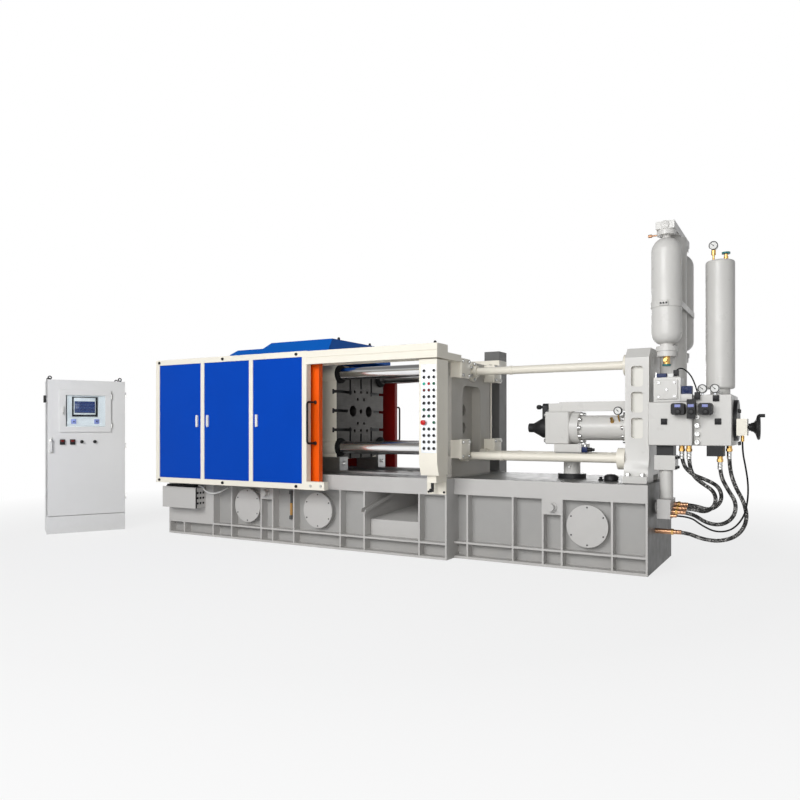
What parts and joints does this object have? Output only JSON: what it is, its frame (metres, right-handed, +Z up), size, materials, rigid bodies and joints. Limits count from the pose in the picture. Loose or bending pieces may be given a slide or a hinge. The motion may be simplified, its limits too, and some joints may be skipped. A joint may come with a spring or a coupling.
{
  "type": "cold chamber die casting machine",
  "caption": "Horizontal cold chamber die casting machine with toggle clamp, tie bars, sliding safety doors, shot cylinder, gas accumulators and a control cabinet.",
  "frame": {"origin": "on the floor under the machine's centre line, beneath the die space", "axes": "+X along the machine towards the injection end, +Y away from the operator, +Z up"},
  "size_m": [6.7644, 2.134, 2.546],
  "materials": {
    "base_grey": "satin paint",
    "cream": "satin paint",
    "light_grey": "satin paint",
    "blue": "gloss paint",
    "orange": "gloss paint",
    "chrome_bar": "polished",
    "machined": "milled",
    "black": "matt",
    "black_iron": "blackened",
    "plate_silver": "brushed",
    "screen": "gloss",
    "glass": "clear",
    "amber": "clear amber",
    "rubber": "woven",
    "copper": "bare"
  },
  "bodies": {
    "machine": {"bed_ways": "machined", "bottle_mounts": "light_grey", "button_plate": "plate_silver", "cabinet_body": "light_grey", "chute_tray": "light_grey", "clamp_base": "base_grey", "closing_cylinder": "cream", "control_cable": "rubber", "control_valves": "black", "door_rails": "cream", "fixed_platen": "machined", "gas_tank": "light_grey", "gas_valves": "copper", "guard_frames": "cream", "guard_panels": "blue", "hose_1": "rubber", "hose_2": "rubber", "hose_3": "rubber", "hose_4": "rubber", "hose_fittings": "copper", "injection_bars": "cream", "injection_base": "base_grey", "injection_column": "light_grey", "inspection_covers": "light_grey", "level_gauge": "amber", "lifting_studs": "base_grey", "main_manifold": "light_grey", "nitrogen_bottles": "light_grey", "operator_column": "cream", "panel_latches": "cream", "pilot_valves": "blue", "piston_accumulator": "light_grey", "pressure_gauges": "chrome_bar", "rear_post": "cream", "return_pipes": "cream", "sensor_guide": "machined", "shot_cylinder": "cream", "shot_support": "machined", "side_manifold": "light_grey", "terminal_box": "light_grey", "tie_bar_nuts": "machined", "tie_bars": "chrome_bar", "toggle_platen": "machined", "top_hood": "blue", "valve_block": "light_grey"},
    "sliding_platen": {"movable_platen": "machined"},
    "front_door": {"safety_door_front": "orange", "door_pull_front": "black"},
    "rear_door": {"safety_door_rear": "orange", "door_pull_rear": "black"},
    "plunger_rod": {"plunger": "black_iron"},
    "wheel": {"handwheel": "black"},
    "cabinet_door": {"cabinet_door": "light_grey", "screen_unit": "screen"},
    "screen_flap": {"screen_window": "light_grey", "window_glass": "glass"}
  },
  "joints": [
    {"name": "platen_slide", "type": "slide", "parent": "machine", "child": "sliding_platen", "axis": [1, 0, 0], "range_m": [0, 0.46]},
    {"name": "front_door_slide", "type": "slide", "parent": "machine", "child": "front_door", "axis": [1, 0, 0], "range_m": [0, 1.039]},
    {"name": "rear_door_slide", "type": "slide", "parent": "machine", "child": "rear_door", "axis": [1, 0, 0], "range_m": [0, 1.039]},
    {"name": "plunger_stroke", "type": "slide", "parent": "machine", "child": "plunger_rod", "axis": [-1, 0, 0], "range_m": [0, 0.4]},
    {"name": "handwheel_turn", "type": "hinge", "parent": "machine", "child": "wheel", "pos_m": [3.3, -0.12, 1.063], "axis": [1, 0, 0], "continuous": true},
    {"name": "cabinet_door_hinge", "type": "hinge", "parent": "machine", "child": "cabinet_door", "pos_m": [-2.653, -0.65493, 0.7725], "axis": [0, 0, 1], "range_deg": [0, 95]},
    {"name": "screen_flap_hinge", "type": "hinge", "parent": "cabinet_door", "child": "screen_flap", "pos_m": [-2.70571, -0.77922, 1.233], "axis": [0, 0, 1], "range_deg": [0, 90]}
  ]
}
